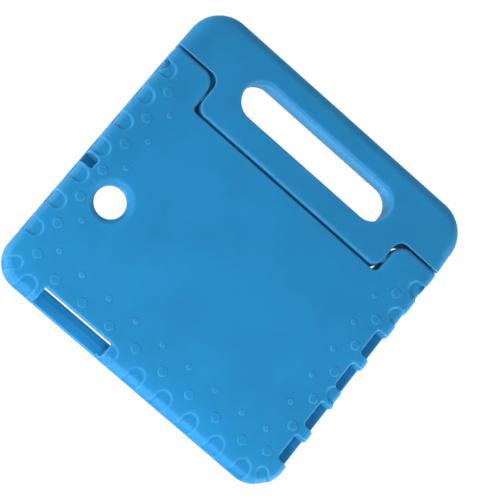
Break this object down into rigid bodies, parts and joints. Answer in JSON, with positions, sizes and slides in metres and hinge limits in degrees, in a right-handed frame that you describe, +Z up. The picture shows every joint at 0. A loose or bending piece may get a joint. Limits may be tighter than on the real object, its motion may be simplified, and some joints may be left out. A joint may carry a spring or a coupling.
{
  "type": "foam tablet case with folding handle",
  "caption": "One-colour foam tray case for a tablet, with a round camera hole, side cutouts and a carrying handle that folds back as a stand.",
  "frame": {"origin": "middle of the bottom edge that the case stands on", "axes": "+Z up towards the handle, +X right as seen from the back panel, -Y the way the back panel faces, +Y the way the screen faces"},
  "size_m": [0.2638, 0.0255, 0.266],
  "materials": {
    "case_foam": "matte closed-cell foam with a fine moulded skin, bright blue",
    "handle_foam": "matte closed-cell foam with a fine moulded skin, bright blue",
    "hinge_plastic": "satin moulded plastic, dark grey",
    "cap_plastic": "satin moulded plastic, blue",
    "pin_steel": "drawn steel rod"
  },
  "bodies": {
    "case": {"case_body": "case_foam", "left_ear_bush": "hinge_plastic", "right_ear_bush": "hinge_plastic", "left_thrust_washer": "cap_plastic", "right_thrust_washer": "cap_plastic", "left_hinge_cap": "cap_plastic", "right_hinge_cap": "cap_plastic"},
    "handle_assembly": {"handle": "handle_foam", "left_handle_socket": "hinge_plastic", "right_handle_socket": "hinge_plastic", "left_hinge_pin": "pin_steel", "right_hinge_pin": "pin_steel", "left_friction_sleeve": "hinge_plastic", "right_friction_sleeve": "hinge_plastic"}
  },
  "joints": [
    {"name": "handle_fold", "type": "hinge", "parent": "case", "child": "handle_assembly", "pos_m": [0, -0.0055, 0.2005], "axis": [1, 0, 0], "range_deg": [0, 95]}
  ]
}
